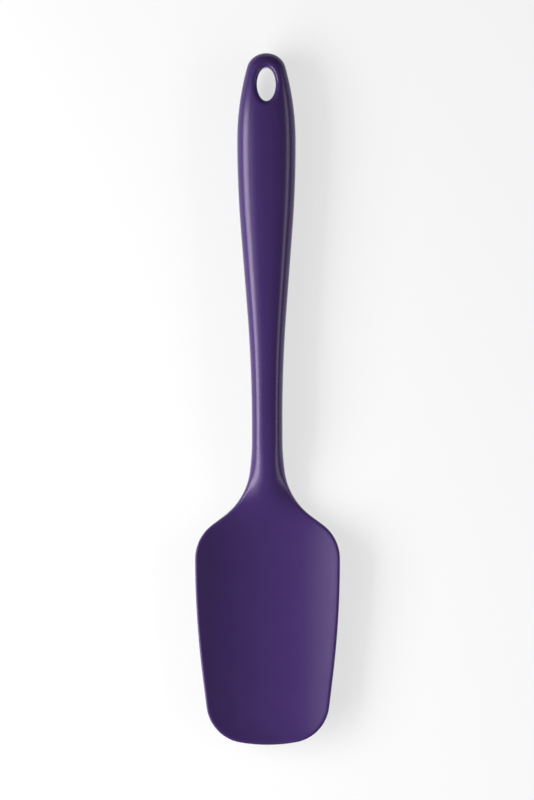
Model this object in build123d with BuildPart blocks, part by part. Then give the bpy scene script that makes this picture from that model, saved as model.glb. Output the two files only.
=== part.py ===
from build123d import *
import os
from math import asin, cos, degrees, pi, radians, sin, sqrt

# Silicone spoon spatula: a nylon core moulded all over with one silicone skin.
# Millimetres. X runs across the blade, +Y towards the hang hole, +Z out of the hollow.
# The origin is at the middle of the length and width, on the surface it rests on.

# Blade, seen from above
blade_width = 58.6
tip_radius = 62.0
corner_radius = 16.6
side_taper = 4.5
side_length = 60.2
cheek_length = 48.0
flare_angle = radians(53.6)
flare_straight_share = 0.2
shoulder_share = 0.39

# Blade, cut through
hollow_depth = 6.6
blade_thickness = 4.5
rim_thickness = 2.4
rim_round_share = 0.31
tip_thickness = 2.6
tip_lift = 4.6
lift_length = 47.0
curl_length = 12.0
curl_radius = 32.0

# Handle
neck_width = 12.4
neck_thickness = 11.8
neck_ease_angle = radians(7.4)
neck_ease_radius = 105.0
neck_fade_power = 1.5
neck_length = 6.0
taper_length = 114.3
taper_spread_length = 46.0
taper_belly_length = 36.0
handle_width = 23.7
handle_thickness = 15.0
nose_radius = 8.0
nose_angle = radians(15.6)
nose_flat = 0.4

# Handle cut across: an oval of four bowed sides with rounded corners
oval_corner_share = 0.78
oval_side_share = 0.2
oval_round_share = 0.75

# Hang hole
hole_width = 7.6
hole_length = 13.7
hole_end_wall = 5.9
hole_rounding = 2.4

# Flats that it rests on, shaved off the lowest lines of the blade and the handle
rest_shave = 0.25

# Nylon core
blade_cover = 1.0
handle_cover = 1.8
hole_cover = 1.6
paddle_inset = 9.0
key_hole_diameter = 5.0
key_hole_rows = 3
key_hole_columns = 3
key_pitch_share = 0.62
key_reach_share = 0.72
web_thickness = 3.2
pocket_wall = 2.0
pocket_rib = 3.0
pocket_count = 4
pocket_start_share = 0.3
pocket_corner_share = 0.4

# What counts as level or steep when the rim of the blade is picked
level_share = 0.01
steep_share = 0.9
middle_share = 0.5

# How finely the loft follows the outline
flare_sections = 12
grip_sections = 9
nose_sections = 8
overrun = 5.0


def sagitta(radius, reach):
    """Height that an arc gains from its middle to a reach beside it."""
    return radius - sqrt(radius**2 - reach**2)


def arc_radius(rise, reach):
    """Radius of the arc that gains a rise over a reach, starting level."""
    return (reach**2 + rise**2) / (2 * rise)


def flare_sizes(spread):
    """Length of the flare's straight and radii of its two arcs, where the half width grows by a spread."""
    straight = spread * flare_straight_share / sin(flare_angle)
    arc_spread = spread * (1 - flare_straight_share) - neck_ease_radius * (1 - cos(neck_ease_angle))
    turn_share = shoulder_share * (1 - cos(flare_angle))
    turn_share += (1 - shoulder_share) * (cos(neck_ease_angle) - cos(flare_angle))
    arcs = arc_spread / turn_share
    return straight, arcs * shoulder_share, arcs * (1 - shoulder_share)


# Angles and radii of the outline
half_blade = blade_width / 2
half_neck = neck_width / 2
half_handle = handle_width / 2
side_angle = side_taper / (side_length - cheek_length / 2)
cheek_radius = cheek_length / side_angle
side_run = (side_taper - cheek_radius * (1 - cos(side_angle))) / sin(side_angle)
tip_reach = half_blade - side_taper - corner_radius * cos(side_angle)
tip_angle = asin(tip_reach / (tip_radius - corner_radius))
flare_straight, shoulder_radius, flare_radius = flare_sizes(half_blade - half_neck)
taper_angle = (half_handle - half_neck) / (taper_length - (taper_spread_length + taper_belly_length) / 2)
spread_radius = taper_spread_length / taper_angle
belly_radius = taper_belly_length / taper_angle
taper_bends = spread_radius + belly_radius
taper_run = (half_handle - half_neck - taper_bends * (1 - cos(taper_angle))) / sin(taper_angle)
swell_radius = (half_handle - nose_radius * cos(nose_angle)) / (1 - cos(nose_angle))

# Lengths between the stations, and the stations along Y
corner_run = tip_radius * (1 - cos(tip_angle)) + corner_radius * (cos(tip_angle) - sin(side_angle))
side_reach = side_run * cos(side_angle) + cheek_radius * sin(side_angle)
flare_run = shoulder_radius * sin(flare_angle) + flare_straight * cos(flare_angle)
flare_run += flare_radius * (sin(flare_angle) - sin(neck_ease_angle))
flare_run += neck_ease_radius * sin(neck_ease_angle)
taper_reach = taper_bends * sin(taper_angle) + taper_run * cos(taper_angle)
nose_reach = swell_radius * sin(nose_angle) + nose_radius * (1 - sin(nose_angle))
length = corner_run + side_reach + flare_run + neck_length + taper_reach + nose_reach - nose_flat
tip_y = -length / 2
widest_y = tip_y + corner_run + side_reach
neck_y = widest_y + flare_run
taper_y = neck_y + neck_length
belly_y = taper_y + taper_reach
end_y = length / 2 + nose_flat
lift_y = tip_y + lift_length

# Heights, with the shaved flats at zero
back_z = -rest_shave
hollow_z = back_z + blade_thickness
handle_z = back_z + handle_thickness / 2
hollow_radius = arc_radius(hollow_depth, half_blade)
back_radius = arc_radius(hollow_depth + blade_thickness - rim_thickness, half_blade)
hollow_rise = tip_lift + tip_thickness - blade_thickness
hollow_axis_z = hollow_z + hollow_radius
back_axis_z = back_z + back_radius

print("length", round(length, 2))


def lift_rise(lift_radius, tip_curl, edge_inset):
    """Height that the blade's middle line has gained where it is this far in from the tip."""
    lift_angle = asin((lift_length - curl_length) / lift_radius)
    curl_angle = asin(sin(lift_angle) + (curl_length - edge_inset) / tip_curl)
    return sagitta(lift_radius, lift_length - curl_length) + tip_curl * (cos(lift_angle) - cos(curl_angle))


def plan_outline(edge_inset, cover):
    """Outline from above, drawn in from the edge of the blade and from the skin of the handle."""
    inner_tip = tip_radius - edge_inset
    inner_corner = corner_radius - edge_inset
    inner_blade = half_blade - edge_inset
    inner_neck = half_neck - cover
    inner_reach = inner_blade - side_taper - inner_corner * cos(side_angle)
    inner_angle = asin(inner_reach / (inner_tip - inner_corner))
    straight, inner_shoulder, inner_flare = flare_sizes(inner_blade - inner_neck)
    turn = degrees(flare_angle)
    ease = degrees(neck_ease_angle)
    bend = degrees(taper_angle)
    with BuildSketch() as plan:
        with BuildLine():
            tip = JernArc((0, tip_y + edge_inset), (1, 0), inner_tip, degrees(inner_angle))
            corner = JernArc(tip @ 1, tip % 1, inner_corner, 90 - degrees(side_angle + inner_angle))
            side = PolarLine(corner @ 1, side_run, 90 - degrees(side_angle))
            cheek = JernArc(side @ 1, side % 1, cheek_radius, degrees(side_angle))
            shoulder = JernArc(cheek @ 1, cheek % 1, inner_shoulder, turn)
            slope = PolarLine(shoulder @ 1, straight, 90 + turn)
            flare = JernArc(slope @ 1, slope % 1, inner_flare, ease - turn)
            eased = JernArc(flare @ 1, flare % 1, neck_ease_radius, -ease)
            neck = Line(eased @ 1, (inner_neck, taper_y))
            spread = JernArc(neck @ 1, neck % 1, spread_radius, -bend)
            taper = PolarLine(spread @ 1, taper_run, 90 - bend)
            belly = JernArc(taper @ 1, taper % 1, belly_radius, bend)
            swell = JernArc(belly @ 1, belly % 1, swell_radius - cover, degrees(nose_angle))
            JernArc(swell @ 1, swell % 1, nose_radius - cover, 90 - degrees(nose_angle))
            mirror(about=Plane.YZ)
        make_face()
    return plan.sketch.face()


def half_width(plan, y):
    """Half the width of an outline at a station."""
    chords = plan.intersect(Edge.make_line((-blade_width, y, 0), (blade_width, y, 0)))
    return sum(chord.length for chord in chords) / 2


def between(start, end, share):
    return start + (end - start) * share


def cross_section(plan, y, blade_skin, cover):
    """Face across the form at a station: a dished blade that turns into an oval handle."""
    width = half_width(plan, y)
    reach = min(max(y - widest_y, 0), flare_run) / flare_run
    share = (reach**2 * (3 - 2 * reach)) ** neck_fade_power
    edge_share = share**2
    neck_half = neck_thickness / 2 - cover
    belly_half = handle_thickness / 2 - cover
    if y > belly_y:
        thick = belly_half * width / (half_handle - cover)
    elif y > neck_y:
        swell_share = (width + cover - half_neck) / (half_handle - half_neck)
        thick = between(neck_half, belly_half, swell_share)
    else:
        thick = neck_half
    top = between(hollow_z - blade_skin, handle_z + thick, share)
    bottom = between(back_z + blade_skin, handle_z - thick, share)
    blade_reach = min(width, half_blade)
    top_rise = sagitta(hollow_radius + blade_skin, blade_reach)
    bottom_rise = sagitta(back_radius - blade_skin, blade_reach)
    edge_thick = (blade_thickness - 2 * blade_skin + top_rise - bottom_rise) / 2
    edge_half = between(edge_thick, thick * oval_corner_share, edge_share)
    edge_z = between((top + bottom + top_rise + bottom_rise) / 2, handle_z, edge_share)
    corner_x = width * (1 - oval_side_share * edge_share)
    corner_top = edge_z + edge_half
    corner_bottom = edge_z - edge_half
    rim_round = 2 * edge_thick * rim_round_share
    oval_round = min(edge_half, width) * oval_round_share
    with BuildSketch(Plane((0, y, 0), x_dir=(-1, 0, 0), z_dir=(0, 1, 0))) as section:
        with BuildLine():
            ThreePointArc((-corner_x, corner_top), (0, top), (corner_x, corner_top))
            ThreePointArc((corner_x, corner_top), (width, edge_z), (corner_x, corner_bottom))
            ThreePointArc((corner_x, corner_bottom), (0, bottom), (-corner_x, corner_bottom))
            ThreePointArc((-corner_x, corner_bottom), (-width, edge_z), (-corner_x, corner_top))
        make_face()
        fillet(section.vertices(), between(rim_round, oval_round, edge_share))
    return section.sketch.face()


def middle_profile(z, lift_radius, tip_curl, axis_z, last_y):
    """Face between the blade's middle line, which lifts and curls up at the tip, and a level axis."""
    lift_angle = asin((lift_length - curl_length) / lift_radius)
    curl_angle = asin(sin(lift_angle) + (curl_length + overrun) / tip_curl)
    with BuildSketch(Plane.YZ) as profile:
        with BuildLine():
            lift = JernArc((lift_y, z), (-1, 0), lift_radius, -degrees(lift_angle))
            curl = JernArc(lift @ 1, lift % 1, tip_curl, degrees(lift_angle - curl_angle))
            Polyline(curl @ 1, ((curl @ 1).X, axis_z), (last_y, axis_z), (last_y, z), (lift_y, z))
        make_face()
    return profile.sketch


def spatula_form(edge_inset, blade_skin, cover):
    """The whole outer form, or the same form drawn in under a skin."""
    plan = plan_outline(edge_inset, cover)
    edge_reach = half_blade - edge_inset
    back_lift = arc_radius(tip_lift, lift_length) - blade_skin
    back_curl = curl_radius + tip_thickness - blade_skin
    hollow_lift = arc_radius(hollow_rise, lift_length) + blade_skin
    hollow_curl = curl_radius + blade_skin

    # Thickness of the edge at the blade's sides and at its tip; the thinner one sets the rounding
    middle_thick = blade_thickness - 2 * blade_skin
    side_gain = sagitta(hollow_radius + blade_skin, edge_reach)
    side_gain -= sagitta(back_radius - blade_skin, edge_reach)
    tip_gain = lift_rise(hollow_lift, hollow_curl, edge_inset)
    tip_gain -= lift_rise(back_lift, back_curl, edge_inset)
    edge_thick = middle_thick + min(side_gain, tip_gain)

    # The blade up to its widest station: the outline cut from a dished slab
    with BuildPart() as blade:
        with BuildSketch(Plane.XY.offset(-overrun)):
            add(plan)
        extrude(amount=back_radius)
        under = middle_profile(back_z + blade_skin, back_lift, back_curl, back_axis_z, widest_y)
        revolve(under, axis=Axis((0, 0, back_axis_z), (0, 1, 0)), mode=Mode.INTERSECT)
        far_y = widest_y + overrun
        over = middle_profile(hollow_z - blade_skin, hollow_lift, hollow_curl, hollow_axis_z, far_y)
        revolve(over, axis=Axis((0, 0, hollow_axis_z), (0, 1, 0)), mode=Mode.SUBTRACT)
        walls = blade.faces().filter_by(lambda face: abs(face.normal_at(face.center()).Z) < level_share)
        edges = walls.sort_by(Axis.Y)[:-1].edges()
        rim = edges.filter_by(lambda edge: abs((edge % middle_share).Z) < steep_share)
        fillet(rim, edge_thick * rim_round_share)
    cut = blade.faces().sort_by(Axis.Y)[-1]

    # From that cut through the flare, the tapered grip and the nose to a small flat at the very end
    nose_y = end_y - cover
    flare_shares = [k / flare_sections for k in range(1, flare_sections + 1)]
    grip_shares = [k / grip_sections for k in range(1, grip_sections + 1)]
    nose_shares = [sin(k / nose_sections * pi / 2) for k in range(1, nose_sections)]
    stations = [between(widest_y, neck_y, share) for share in flare_shares]
    stations += [between(neck_y, belly_y, share) for share in grip_shares]
    stations += [between(belly_y, nose_y, share) for share in nose_shares]
    stations += [nose_y - nose_flat]
    with BuildPart() as form:
        loft(sections=[cut, *(cross_section(plan, y, blade_skin, cover) for y in stations)])
        fillet(form.faces().sort_by(Axis.Y)[-1].edges(), nose_flat)
        add(blade.part)
    return form.part


hole_y = length / 2 - hole_end_wall - hole_length / 2

# Nylon core: a handle bar, the eye round the hang hole and a thin paddle in the blade
core_plan = plan_outline(paddle_inset, handle_cover)
core_form = spatula_form(paddle_inset, blade_cover, handle_cover)
pocket_start = between(taper_y, belly_y, pocket_start_share)
pocket_end = hole_y - hole_length / 2 - hole_cover - pocket_rib
pocket_pitch = (pocket_end - pocket_start + pocket_rib) / pocket_count
key_x_pitch = (half_blade - side_taper - paddle_inset) * key_pitch_share
key_y_pitch = (widest_y - tip_y - paddle_inset) * key_reach_share / key_hole_rows
key_middle_y = (tip_y + paddle_inset + widest_y) / 2

with BuildSketch() as pockets:
    for pocket in range(pocket_count):
        start_y = pocket_start + pocket * pocket_pitch
        far_y = start_y + pocket_pitch - pocket_rib
        near_x = half_width(core_plan, start_y) - pocket_wall
        far_x = half_width(core_plan, far_y) - pocket_wall
        with BuildSketch(mode=Mode.PRIVATE) as pocket_shape:
            with BuildLine():
                Polyline((near_x, start_y), (far_x, far_y), (-far_x, far_y), (-near_x, start_y), close=True)
            make_face()
            fillet(pocket_shape.vertices(), near_x * pocket_corner_share)
        add(pocket_shape.sketch)

with BuildPart() as core:
    add(core_form)
    with BuildSketch(Plane.XY.offset(-overrun)):
        with Locations((0, hole_y)):
            Ellipse(hole_width / 2 + hole_cover, hole_length / 2 + hole_cover)
        with Locations((0, key_middle_y)):
            with GridLocations(key_x_pitch, key_y_pitch, key_hole_columns, key_hole_rows):
                Circle(key_hole_diameter / 2)
    extrude(amount=handle_thickness + 2 * overrun, mode=Mode.SUBTRACT)
    for side in (1, -1):
        with BuildSketch(Plane.XY.offset(handle_z + side * web_thickness / 2)):
            add(pockets.sketch)
        extrude(amount=side * handle_thickness, mode=Mode.SUBTRACT)
core.part.label = "nylon_core"

# Silicone skin: the outer form with rounded hang hole and resting flats, around the core
outer_form = spatula_form(0, 0, 0)
with BuildPart() as skin:
    add(outer_form)
    with BuildSketch(Plane.XY.offset(-overrun)):
        with Locations((0, hole_y)):
            Ellipse(hole_width / 2, hole_length / 2)
    extrude(amount=handle_thickness + 2 * overrun, mode=Mode.SUBTRACT)
    hole_rims = skin.edges(Select.LAST).filter_by(lambda edge: edge.is_closed)
    fillet(hole_rims, hole_rounding)
    split(bisect_by=Plane.XY)
    add(core.part, mode=Mode.SUBTRACT)
skin.part.label = "silicone_skin"

os.makedirs("parts", exist_ok=True)
export_step(core.part, "parts/nylon_core.step")
export_step(skin.part, "parts/silicone_skin.step")
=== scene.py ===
import bpy
from math import asin, cos, pi, radians, sin, sqrt
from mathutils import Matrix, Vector


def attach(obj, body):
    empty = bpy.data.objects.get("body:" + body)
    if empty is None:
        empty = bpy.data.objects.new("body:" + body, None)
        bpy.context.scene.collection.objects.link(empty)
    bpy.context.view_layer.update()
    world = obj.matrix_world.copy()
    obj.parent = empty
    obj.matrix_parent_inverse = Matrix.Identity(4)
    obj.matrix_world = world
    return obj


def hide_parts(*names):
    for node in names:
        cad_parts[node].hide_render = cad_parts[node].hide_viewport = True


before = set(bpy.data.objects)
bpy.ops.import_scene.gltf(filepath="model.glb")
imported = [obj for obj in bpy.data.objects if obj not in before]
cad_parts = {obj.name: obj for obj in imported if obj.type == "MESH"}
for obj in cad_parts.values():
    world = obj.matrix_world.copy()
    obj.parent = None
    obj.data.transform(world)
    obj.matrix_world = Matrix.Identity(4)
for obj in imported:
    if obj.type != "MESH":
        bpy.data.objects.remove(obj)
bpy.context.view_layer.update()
mm = 0.001
hair = 1e-6                                    # as good as nothing, in any unit

# Silicone skin: everything that shows. Sizes in millimetres, angles in degrees.
skin = {
    "bladeWidth": 58.6, "tipRadius": 62.0, "cornerRadius": 16.6,
    "sideTaper": 4.5, "sideLength": 60.2, "cheekLength": 48.0,
    "flareAngle": 53.6, "slopeShare": 0.2, "shoulderShare": 0.39,
    "hollowDepth": 6.6, "bladeThickness": 4.5, "rimThickness": 2.4, "rimRound": 1.3,
    "tipThickness": 2.6, "tipLift": 4.6, "liftLength": 47.0,
    "curlLength": 12.0, "curlRadius": 32.0,
    "neckWidth": 12.4, "neckThickness": 11.8, "neckLength": 6.0,
    "easeAngle": 7.4, "easeRadius": 105.0, "fadePower": 1.5,
    "taperLength": 114.3, "spreadLength": 46.0, "bellyLength": 36.0,
    "handleWidth": 23.7, "handleThickness": 15.0, "ovalPower": 2.3,
    "noseRadius": 8.0, "noseAngle": 15.6, "noseFlat": 0.4,
    "holeWidth": 7.6, "holeLength": 13.7, "holeWall": 5.9, "holeRound": 2.4,
    "restShave": 0.25,
}

# How closely the skin's mesh follows the form
grid = {
    "step": 1.2, "bendStep": 4.0, "fewest": 2,     # along the edge: mm, degrees of turn, faces on any run
    "inner": 20, "rim": 8,                         # faces over the form and its lip
    "round": 8, "wall": 3,                         # faces over the hole's rounding and its wall
    "poleInset": 17.0,                             # from the tip to the pole of the fan there
    "slantStart": 50.0,                            # rows slant towards the hole past this y
    "ringStart": 26.0,                             # and go round it this far from the end
}


def turnTo(rise, reach):                       # radius of an arc that gains a rise over a reach, from level
    return (reach**2 + rise**2) / (2 * rise)


def sag(radius, reach):                        # height that an arc gains at a reach from its middle
    return radius - sqrt(radius**2 - reach**2)


def mixed(a, b, share):
    return a + (b - a) * share


def clamped(value):
    return min(max(value, 0.0), 1.0)


def eased(value):
    return clamped(value) ** 2 * (3 - 2 * clamped(value))


# The outline as a walk of straight runs and arcs from the tip to the nose. The radii that have no name of
# their own follow from the widths that the walk has to reach.
def outlineWalk(s):
    halfBlade, halfNeck, halfHandle = s["bladeWidth"] / 2, s["neckWidth"] / 2, s["handleWidth"] / 2
    sideAngle = s["sideTaper"] / (s["sideLength"] - s["cheekLength"] / 2)
    cheek = s["cheekLength"] / sideAngle
    sideRun = (s["sideTaper"] - cheek * (1 - cos(sideAngle))) / sin(sideAngle)
    tipReach = halfBlade - s["sideTaper"] - s["cornerRadius"] * cos(sideAngle)
    tipAngle = asin(tipReach / (s["tipRadius"] - s["cornerRadius"]))
    flareAngle, easeAngle = radians(s["flareAngle"]), radians(s["easeAngle"])
    slope = (halfBlade - halfNeck) * s["slopeShare"] / sin(flareAngle)
    arcSpread = (halfBlade - halfNeck) * (1 - s["slopeShare"]) - s["easeRadius"] * (1 - cos(easeAngle))
    shoulderShare, flareShare = s["shoulderShare"], 1 - s["shoulderShare"]
    turned = shoulderShare * (1 - cos(flareAngle)) + flareShare * (cos(easeAngle) - cos(flareAngle))
    shoulder, flare = arcSpread / turned * shoulderShare, arcSpread / turned * flareShare
    straightLength = s["taperLength"] - (s["spreadLength"] + s["bellyLength"]) / 2
    taperAngle = (halfHandle - halfNeck) / straightLength
    spread, belly = s["spreadLength"] / taperAngle, s["bellyLength"] / taperAngle
    taperRun = (halfHandle - halfNeck - (spread + belly) * (1 - cos(taperAngle))) / sin(taperAngle)
    noseAngle = radians(s["noseAngle"])
    swell = (halfHandle - s["noseRadius"] * cos(noseAngle)) / (1 - cos(noseAngle))
    return [                                   # name, radius or 0 where straight, turn or length
        ("tip", s["tipRadius"], tipAngle),
        ("corner", s["cornerRadius"], pi / 2 - sideAngle - tipAngle),
        ("side", 0, sideRun),
        ("cheek", cheek, sideAngle),
        ("shoulder", shoulder, flareAngle),
        ("slope", 0, slope),
        ("flare", flare, easeAngle - flareAngle),
        ("ease", s["easeRadius"], -easeAngle),
        ("neck", 0, s["neckLength"]),
        ("spread", spread, -taperAngle),
        ("taper", 0, taperRun),
        ("belly", belly, taperAngle),
        ("swell", swell, noseAngle),
        ("nose", s["noseRadius"], pi / 2 - noseAngle),
    ]


class Outline:
    def __init__(self, s):
        self.points, self.runs = [], {}        # a point holds x, y, the outward normal and the way walked
        x, y, heading, way = 0.0, 0.0, 0.0, 0.0
        for name, radius, amount in outlineWalk(s):
            run = self.runs[name] = ((x, y, heading, way), radius, amount)
            length = abs(amount) * radius if radius else amount
            count = max(grid["fewest"], round(length / grid["step"]))
            if radius:
                count = max(count, round(abs(amount) / radians(grid["bendStep"])))
            self.points += [self.along(run, k / count) for k in range(count)]
            x, y, _, _, way = self.along(run, 1.0)
            heading += amount if radius else 0.0
        self.points.append(self.along(run, 1.0))
        self.length = y - s["noseFlat"]
        self.middle = self.length / 2
        self.noseY = self.runs["nose"][0][1]
        self.squeeze = (self.length - self.noseY) / (y - self.noseY)
        self.points = [self.settled(point) for point in self.points]
        self.station = {name: run[0][1] - self.middle for name, run in self.runs.items()}

    def along(self, run, share):               # the point at a share of a run
        (x, y, heading, way), radius, amount = run
        if not radius:
            reach = amount * share
            x, y = x + reach * cos(heading), y + reach * sin(heading)
            return x, y, sin(heading), -cos(heading), way + reach
        side = 1 if amount > 0 else -1
        after = heading + amount * share
        x += side * radius * (sin(after) - sin(heading))
        y -= side * radius * (cos(after) - cos(heading))
        return x, y, sin(after), -cos(after), way + radius * abs(amount) * share

    def settled(self, point):                  # the nose ends a little early, and the middle is at zero
        x, y, nx, ny, way = point
        if y > self.noseY:
            y = self.noseY + (y - self.noseY) * self.squeeze
            nx, ny = Vector((nx * self.squeeze, ny)).normalized()
        return max(x, 0.0), y - self.middle, nx, ny, way

    def halfWidth(self, y):                    # from the middle line to the edge
        y += self.middle
        if y > self.noseY:
            y = self.noseY + (y - self.noseY) / self.squeeze
        reached = (run for run in self.runs.values() if y <= self.along(run, 1.0)[1])
        (startX, startY, heading, _), radius, amount = next(reached, self.runs["nose"])
        if not radius:
            return startX + (y - startY) / sin(heading) * cos(heading)
        side = 1 if amount > 0 else -1
        centreX, centreY = startX - side * radius * sin(heading), startY + side * radius * cos(heading)
        return centreX + side * sqrt(max(radius**2 - (y - centreY) ** 2, 0.0))


# The skin's top and bottom, as heights over the outline
class SkinForm:
    def __init__(self, s):
        self.s, self.outline = s, Outline(s)
        station = self.outline.station
        self.tipY, self.widestY = station["tip"], station["shoulder"]
        self.neckY, self.bellyY = station["neck"], station["swell"]
        self.liftY = self.tipY + s["liftLength"]
        self.holeY = self.outline.length / 2 - s["holeWall"] - s["holeLength"] / 2
        self.backZ = -s["restShave"]
        self.hollowZ = self.backZ + s["bladeThickness"]
        self.handleZ = self.backZ + s["handleThickness"] / 2
        halfBlade = s["bladeWidth"] / 2
        self.hollowRadius = turnTo(s["hollowDepth"], halfBlade)
        self.backRadius = turnTo(s["hollowDepth"] + s["bladeThickness"] - s["rimThickness"], halfBlade)
        self.hollowLift = turnTo(s["tipLift"] + s["tipThickness"] - s["bladeThickness"], s["liftLength"])
        self.backLift = turnTo(s["tipLift"], s["liftLength"])

    def rise(self, lift, curl, past):          # of the middle line: a long lift, then a curl at the tip
        straight = self.s["liftLength"] - self.s["curlLength"]
        if past <= straight:
            return sag(lift, past)
        start = asin(straight / lift)
        end = asin(sin(start) + (past - straight) / curl)
        return sag(lift, straight) + curl * (cos(start) - cos(end))

    def bladeHeights(self, x, y):              # dished both ways
        past, curl = max(self.liftY - y, 0.0), self.s["curlRadius"]
        hollowRise = self.rise(self.hollowLift, curl, past)
        backRise = self.rise(self.backLift, curl + self.s["tipThickness"], past)
        top = self.hollowZ + hollowRise + sag(self.hollowRadius - hollowRise, x)
        bottom = self.backZ + backRise + sag(self.backRadius - backRise, x)
        return top, bottom

    def handleHalf(self, x, y):                # half the oval's thickness, and how far across the place is
        s, width = self.s, self.outline.halfWidth(y)
        halfNeck, halfHandle = s["neckWidth"] / 2, s["handleWidth"] / 2
        if y > self.bellyY:
            thick = s["handleThickness"] / 2 * width / halfHandle
        else:
            swell = clamped((width - halfNeck) / (halfHandle - halfNeck)) if y > self.neckY else 0.0
            thick = mixed(s["neckThickness"], s["handleThickness"], swell) / 2
        across = clamped(abs(x) / max(width, hair))
        return thick * (1 - across ** s["ovalPower"]) ** (1 / s["ovalPower"]), across

    def heights(self, x, y, inset):            # top and bottom at a place, this far in from the edge
        rim = self.s["rimRound"]
        edge = sqrt(1 - (1 - inset / rim) ** 2) if inset < rim else 1.0
        bladeTop, bladeBottom = self.bladeHeights(x, y)
        bladeMiddle, bladeHalf = (bladeTop + bladeBottom) / 2, (bladeTop - bladeBottom) / 2 * edge
        oval, across = self.handleHalf(x, y)
        # The oval fades into the blade, sooner at its flanks than along its middle
        share = eased((y - self.widestY) / (self.neckY - self.widestY)) ** self.s["fadePower"]
        share = mixed(share, share**2, across**2)
        middle = mixed(bladeMiddle, self.handleZ, share)
        half = mixed(bladeHalf, oval, share)
        return max(middle + half, 0.0), max(middle - half, 0.0)   # cut off flat where it rests


# Half of the skin's mesh: spokes from the middle line or the hole out to the edge, above and below
class HalfSkin:
    def __init__(self, form):
        s, points = form.s, form.outline.points
        self.form, self.verts, self.faces = form, [], []
        ringStart = form.outline.length / 2 - grid["ringStart"]
        _, self.ringY, _, _, self.ringWay = next(point for point in points if point[1] > ringStart)
        self.lastWay = points[-1][4]
        self.slant = form.holeY - s["holeLength"] / 2 - s["holeRound"] - self.ringY
        self.poleY = form.tipY + grid["poleInset"]
        self.pole = [self.put(0, self.poleY, z) for z in form.heights(0.0, self.poleY, s["rimRound"])]
        spokes = [self.spoke(point) for point in points]
        for (topA, bottomA, holeA), (topB, bottomB, holeB) in zip(spokes, spokes[1:]):
            self.strip(topA, topB, False)
            self.strip(bottomA, bottomB, True)
            if holeA and holeB:
                self.strip([topA[0], *holeA, bottomA[0]], [topB[0], *holeB, bottomB[0]], True)

    def put(self, x, y, z):                    # adds a vertex and gives its number
        self.verts.append((x * mm, y * mm, z * mm))
        return len(self.verts) - 1

    def strip(self, a, b, flip):               # faces between two rows, triangles where the rows meet
        for k in range(len(a) - 1):
            corners = [a[k], a[k + 1], b[k + 1], b[k]]
            unique = [c for n, c in enumerate(corners) if c != corners[n - 1]]
            self.faces.append(tuple(unique[::-1] if flip else unique))

    def spoke(self, point):                    # its row above, its row below and its row through the hole
        x, y, nx, ny, way = point
        s, ringed = self.form.s, way >= self.ringWay
        if ringed:                             # from the hole's rounding to the edge
            holeX, holeY, normal = self.holeEdge(way)
            startX, startY = holeX + normal.x * s["holeRound"], holeY + normal.y * s["holeRound"]
        else:                                  # from the middle line, or from the pole at the tip
            slanted = eased((y - grid["slantStart"]) / (self.ringY - grid["slantStart"]))
            startX, startY = 0.0, max(y + self.slant * slanted, self.poleY)
        rimX, rimY = max(x - nx * s["rimRound"], 0.0), y - ny * s["rimRound"]
        atPole = (startX, startY) == (0.0, self.poleY)
        top, bottom = ([self.pole[0]], [self.pole[1]]) if atPole else ([], [])
        for k in range(len(top), grid["inner"] + 1):
            share = k / grid["inner"]
            px, py = mixed(startX, rimX, share), mixed(startY, rimY, share)
            high, low = self.form.heights(px, py, s["rimRound"])
            top.append(self.put(px, py, high))
            bottom.append(self.put(px, py, low))
        for k in range(1, grid["rim"] + 1):
            inset = s["rimRound"] * (1 - sin(pi / 2 * k / grid["rim"]))
            px, py = max(x - nx * inset, 0.0), y - ny * inset
            high, low = self.form.heights(px, py, inset)
            if k < grid["rim"]:
                top.append(self.put(px, py, high))
                bottom.append(self.put(px, py, low))
            else:                              # both rows end on the edge
                top.append(self.put(px, py, (high + low) / 2))
                bottom.append(top[-1])
        return top, bottom, self.holeWall(holeX, holeY, normal) if ringed else None

    def holeEdge(self, way):                   # place and normal on the hole, for a way along the outline
        halfWidth, halfLength = self.form.s["holeWidth"] / 2, self.form.s["holeLength"] / 2
        angle = pi * ((way - self.ringWay) / (self.lastWay - self.ringWay) - 0.5)
        normal = Vector((halfLength * cos(angle), halfWidth * sin(angle))).normalized()
        x, y = halfWidth * cos(angle), self.form.holeY + halfLength * sin(angle)
        if abs(abs(angle) - pi / 2) < hair:    # exactly on the middle line
            normal.x, x = 0.0, 0.0
        return x, y, normal

    def holeWall(self, x, y, normal):          # down over the upper rounding, the wall, the lower rounding
        s, upper, lower = self.form.s, [], []
        for k in range(1, grid["round"] + 1):
            turn = pi / 2 * k / grid["round"]
            out, drop = s["holeRound"] * (1 - sin(turn)), s["holeRound"] * (1 - cos(turn))
            px, py = x + normal.x * out, y + normal.y * out
            high, low = self.form.heights(px, py, s["rimRound"])
            upper.append(self.put(px, py, high - drop))
            lower.append(self.put(px, py, low + drop))
        wallHigh, wallLow = self.verts[upper[-1]][2] / mm, self.verts[lower[-1]][2] / mm
        for k in range(1, grid["wall"]):
            upper.append(self.put(x, y, mixed(wallHigh, wallLow, k / grid["wall"])))
        return upper + lower[::-1]


def skinMesh(form):
    half = HalfSkin(form)
    mesh = bpy.data.meshes.new("spatulaSkin")
    mesh.from_pydata(half.verts, [], half.faces)
    mesh.validate()
    mesh.shade_smooth()
    return mesh


def mirrored(mesh):
    piece = bpy.data.objects.new(mesh.name, mesh)
    bpy.context.scene.collection.objects.link(piece)
    otherHalf = piece.modifiers.new("otherHalf", "MIRROR")
    otherHalf.use_axis = (True, False, False)
    otherHalf.use_clip = True
    otherHalf.merge_threshold = hair
    return piece


# Materials
def newMaterial(name):
    material = bpy.data.materials.new(name)
    material.use_nodes = True
    return material, material.node_tree.nodes, material.node_tree.links


def noiseNode(nodes, size, detail):            # size in mm
    noise = nodes.new("ShaderNodeTexNoise")
    noise.inputs["Scale"].default_value = 1 / (size * mm)
    noise.inputs["Detail"].default_value = detail
    return noise


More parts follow.
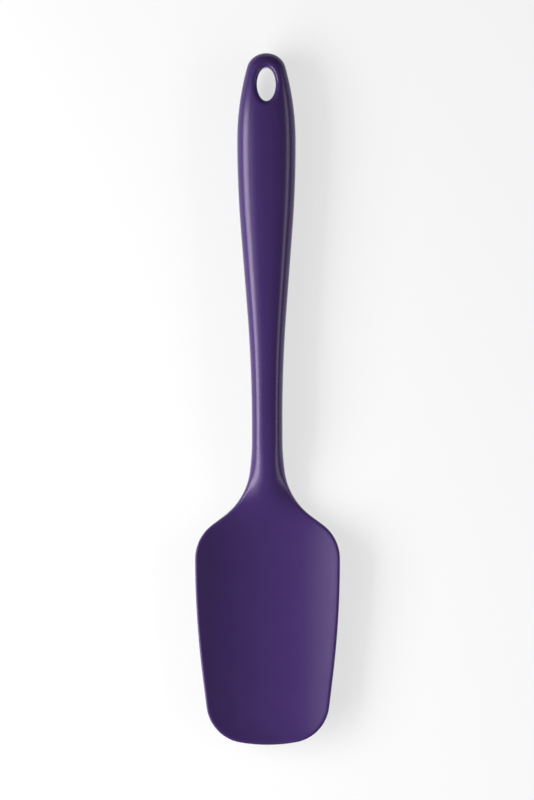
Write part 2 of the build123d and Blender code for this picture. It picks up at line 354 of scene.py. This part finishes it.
def tintNode(nodes, first, second):
    tint = nodes.new("ShaderNodeMix")
    tint.data_type = "RGBA"
    tint.inputs["A"].default_value = (*first, 1)
    tint.inputs["B"].default_value = (*second, 1)
    return tint


def mathNode(nodes, operation):
    node = nodes.new("ShaderNodeMath")
    node.operation = operation
    return node


siliconeLook = {
    "colour": (0.045, 0.0215, 0.112), "paler": (0.052, 0.026, 0.124),
    "roughness": (0.22, 0.27), "ior": 1.41, "specular": 0.52, "sheenTint": (0.95, 0.82, 1.0),
    "mottleSize": 9.0, "grainSize": 0.45, "grainHeight": 0.02,   # mm
    "mottleDetail": 3.0, "grainDetail": 2.0, "grainStrength": 0.5,
}


def siliconeMaterial(look):
    material, nodes, links = newMaterial("purpleSilicone")
    shader = nodes["Principled BSDF"]
    shader.inputs["IOR"].default_value = look["ior"]
    shader.inputs["Specular IOR Level"].default_value = look["specular"]
    shader.inputs["Specular Tint"].default_value = (*look["sheenTint"], 1)
    place = nodes.new("ShaderNodeTexCoord")
    mottle = noiseNode(nodes, look["mottleSize"], look["mottleDetail"])
    grain = noiseNode(nodes, look["grainSize"], look["grainDetail"])
    tint = tintNode(nodes, look["colour"], look["paler"])
    rough = nodes.new("ShaderNodeMapRange")
    rough.inputs["To Min"].default_value, rough.inputs["To Max"].default_value = look["roughness"]
    bump = nodes.new("ShaderNodeBump")
    bump.inputs["Distance"].default_value = look["grainHeight"] * mm
    bump.inputs["Strength"].default_value = look["grainStrength"]
    for texture in (mottle, grain):
        links.new(place.outputs["Object"], texture.inputs["Vector"])
    links.new(mottle.outputs["Fac"], tint.inputs["Factor"])
    links.new(mottle.outputs["Fac"], rough.inputs["Value"])
    links.new(grain.outputs["Fac"], bump.inputs["Height"])
    links.new(tint.outputs["Result"], shader.inputs["Base Color"])
    links.new(rough.outputs["Result"], shader.inputs["Roughness"])
    links.new(bump.outputs["Normal"], shader.inputs["Normal"])
    return material


nylonLook = {
    "colour": (0.045, 0.045, 0.05), "glassFibre": (0.075, 0.075, 0.08), "roughness": 0.6,
    "fibreSize": 1.5,                          # mm
    "fibreDetail": 6.0,
}


def nylonMaterial(look):
    material, nodes, links = newMaterial("nylon")
    shader = nodes["Principled BSDF"]
    shader.inputs["Roughness"].default_value = look["roughness"]
    place = nodes.new("ShaderNodeTexCoord")
    fibre = noiseNode(nodes, look["fibreSize"], look["fibreDetail"])
    tint = tintNode(nodes, look["colour"], look["glassFibre"])
    links.new(place.outputs["Object"], fibre.inputs["Vector"])
    links.new(fibre.outputs["Fac"], tint.inputs["Factor"])
    links.new(tint.outputs["Result"], shader.inputs["Base Color"])
    return material


print("camera")
shot = {
    "distance": 1.9,                           # metres above the floor
    "mmPerPixel": 0.4064, "imageHeight": 800,  # scale and height of the picture
    "sensor": 36.0, "middle": (-0.05, -0.43),  # mm
    "roll": -0.15,                             # degrees
}
camera = bpy.data.objects.new("camera", bpy.data.cameras.new("camera"))
bpy.context.scene.collection.objects.link(camera)
bpy.context.scene.camera = camera
frameHeight = shot["mmPerPixel"] * shot["imageHeight"] * mm
camera.data.sensor_width = shot["sensor"]
camera.data.lens = shot["sensor"] * shot["distance"] / frameHeight
camera.location = (shot["middle"][0] * mm, shot["middle"][1] * mm, shot["distance"])
camera.rotation_euler = (0, 0, radians(shot["roll"]))

print("silicone skin")
spatulaSkin = mirrored(skinMesh(SkinForm(skin)))
spatulaSkin.data.materials.append(siliconeMaterial(siliconeLook))
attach(spatulaSkin, "root")
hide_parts("silicone_skin")

print("nylon core")
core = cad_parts["nylon_core"]
core.data.materials.clear()
core.data.materials.append(nylonMaterial(nylonLook))

print("floor and light")
studio = {
    "floorSize": 20.0,                         # metres
    "floorDrop": 0.05,                         # mm, so that it and the flats on the back don't coincide
    "floorColour": (0.9, 0.9, 0.9), "floorRoughness": 0.9,
    "lit": 0.65,                               # share of plain white in what the camera and reflections see
    "world": 0.12,
}
lamps = {                                      # place, length along the spatula, height (metres), watts
    "leftBox": ((-0.57, -0.24, 0.30), 1.0, 0.28, 8.8),
    "upperBox": ((-0.46, -0.30, 0.52), 1.1, 0.30, 1.3),
    "rightStrip": ((0.60, -0.15, 0.30), 1.0, 0.16, 1.8),
}


def floorMaterial(look):
    material, nodes, links = newMaterial("floor")
    shader = nodes["Principled BSDF"]
    shader.inputs["Base Color"].default_value = (*look["floorColour"], 1)
    shader.inputs["Roughness"].default_value = look["floorRoughness"]
    shader.inputs["Specular IOR Level"].default_value = 0.0
    seen = nodes.new("ShaderNodeLightPath")
    glow = nodes.new("ShaderNodeEmission")
    either, every = mathNode(nodes, "MAXIMUM"), mathNode(nodes, "MAXIMUM")
    lit = mathNode(nodes, "MULTIPLY")
    lit.inputs[1].default_value = look["lit"]
    pale = nodes.new("ShaderNodeMixShader")
    links.new(seen.outputs["Is Camera Ray"], either.inputs[0])
    links.new(seen.outputs["Is Glossy Ray"], either.inputs[1])
    links.new(either.outputs[0], every.inputs[0])
    links.new(seen.outputs["Is Transmission Ray"], every.inputs[1])
    links.new(every.outputs[0], lit.inputs[0])
    links.new(lit.outputs[0], pale.inputs["Fac"])
    links.new(shader.outputs["BSDF"], pale.inputs[1])
    links.new(glow.outputs["Emission"], pale.inputs[2])
    links.new(pale.outputs["Shader"], nodes["Material Output"].inputs["Surface"])
    return material


def areaLamp(name, place, length, height, power):
    lamp = bpy.data.objects.new(name, bpy.data.lights.new(name, "AREA"))
    bpy.context.scene.collection.objects.link(lamp)
    lamp.data.shape = "RECTANGLE"
    lamp.data.size, lamp.data.size_y = length, height
    lamp.data.energy = power
    lamp.location = place
    across = Vector((place[0], 0, place[2]))   # shines straight across the spatula
    lamp.rotation_euler = across.to_track_quat("Z", "Y").to_euler()


reach = studio["floorSize"] / 2
floorMesh = bpy.data.meshes.new("floor")
floorCorners = [(-reach, -reach, 0), (reach, -reach, 0), (reach, reach, 0), (-reach, reach, 0)]
floorMesh.from_pydata(floorCorners, [], [(0, 1, 2, 3)])
floorMesh.materials.append(floorMaterial(studio))
floor = bpy.data.objects.new("floor", floorMesh)
floor.location.z = -studio["floorDrop"] * mm
bpy.context.scene.collection.objects.link(floor)
for name, values in lamps.items():
    areaLamp(name, *values)
world = bpy.data.worlds.new("studio")
world.use_nodes = True
background = world.node_tree.nodes["Background"]
background.inputs["Color"].default_value = (1, 1, 1, 1)
background.inputs["Strength"].default_value = studio["world"]
bpy.context.scene.world = world
bpy.context.scene.view_settings.view_transform = "Standard"
